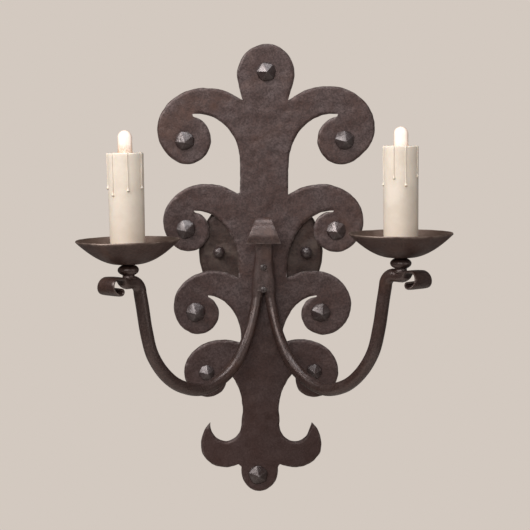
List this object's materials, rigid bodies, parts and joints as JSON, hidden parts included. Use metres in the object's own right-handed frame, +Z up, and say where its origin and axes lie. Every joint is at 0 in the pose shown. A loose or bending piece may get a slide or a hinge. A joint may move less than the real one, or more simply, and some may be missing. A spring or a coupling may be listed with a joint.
{
  "type": "wall sconce",
  "caption": "Hand-forged iron wall sconce with a scrolled backplate, curved tube arms, dished drip pans and electric candle lamps.",
  "frame": {"origin": "centre of the crossbar's back face, on the wall plane", "axes": "+Z up, +X to the right seen from the room, +Y into the wall; the sconce stands out towards -Y"},
  "size_m": [0.3602, 0.2093, 0.458],
  "materials": {
    "wrought_iron": "hand-forged, dark brown waxed iron",
    "zinc_steel": "zinc plated",
    "brass": "plain",
    "phenolic": "moulded",
    "ivory_sleeve": "ivory resin with moulded drips",
    "bulb_glass": "frosted, warm white",
    "filament": "glass stem and filament",
    "lead_insulation": "insulated twin lead drawn as one round",
    "splice_cap": "moulded"
  },
  "bodies": {
    "sconce": {"backplate": "wrought_iron", "canopy": "wrought_iron", "stem_strap": "wrought_iron", "strap_screw_upper": "wrought_iron", "strap_screw_lower": "wrought_iron", "nail_top": "wrought_iron", "nail_upper_left": "wrought_iron", "nail_upper_right": "wrought_iron", "nail_middle_left": "wrought_iron", "nail_middle_right": "wrought_iron", "nail_third_left": "wrought_iron", "nail_third_right": "wrought_iron", "nail_fourth_left": "wrought_iron", "nail_fourth_right": "wrought_iron", "nail_bottom": "wrought_iron", "crossbar": "zinc_steel", "strap_nut_upper": "zinc_steel", "strap_nut_lower": "zinc_steel", "left_arm": "wrought_iron", "left_spacer_ball": "wrought_iron", "left_drip_pan": "wrought_iron", "left_stud": "zinc_steel", "left_threaded_pipe": "zinc_steel", "left_lock_nut": "zinc_steel", "left_lampholder": "phenolic", "left_socket_shell": "brass", "left_centre_contact": "brass", "left_lead": "lead_insulation", "left_splice_cap": "splice_cap", "right_arm": "wrought_iron", "right_spacer_ball": "wrought_iron", "right_drip_pan": "wrought_iron", "right_stud": "zinc_steel", "right_threaded_pipe": "zinc_steel", "right_lock_nut": "zinc_steel", "right_lampholder": "phenolic", "right_socket_shell": "brass", "right_centre_contact": "brass", "right_lead": "lead_insulation", "right_splice_cap": "splice_cap"},
    "left_sleeve": {"left_candle_sleeve": "ivory_sleeve"},
    "right_sleeve": {"right_candle_sleeve": "ivory_sleeve"},
    "left_bulb": {"left_bulb_glass": "bulb_glass", "left_bulb_cap": "brass", "left_filament": "filament"},
    "right_bulb": {"right_bulb_glass": "bulb_glass", "right_bulb_cap": "brass", "right_filament": "filament"},
    "left_nut": {"left_ball_nut": "wrought_iron"},
    "right_nut": {"right_ball_nut": "wrought_iron"}
  },
  "joints": [
    {"name": "left_sleeve_lift", "type": "slide", "parent": "sconce", "child": "left_sleeve", "axis": [-0.0227, 0, 0.9997], "range_m": [0, 0.125]},
    {"name": "left_bulb_unscrew", "type": "slide", "parent": "sconce", "child": "left_bulb", "axis": [-0.0227, 0, 0.9997], "range_m": [0, 0.045]},
    {"name": "right_sleeve_lift", "type": "slide", "parent": "sconce", "child": "right_sleeve", "axis": [-0.0052, 0, 1], "range_m": [0, 0.125]},
    {"name": "right_bulb_unscrew", "type": "slide", "parent": "sconce", "child": "right_bulb", "axis": [-0.0052, 0, 1], "range_m": [0, 0.045]},
    {"name": "left_nut_unscrew", "type": "slide", "parent": "sconce", "child": "left_nut", "axis": [0, -1, 0], "range_m": [0, 0.012]},
    {"name": "right_nut_unscrew", "type": "slide", "parent": "sconce", "child": "right_nut", "axis": [0, -1, 0], "range_m": [0, 0.012]}
  ]
}
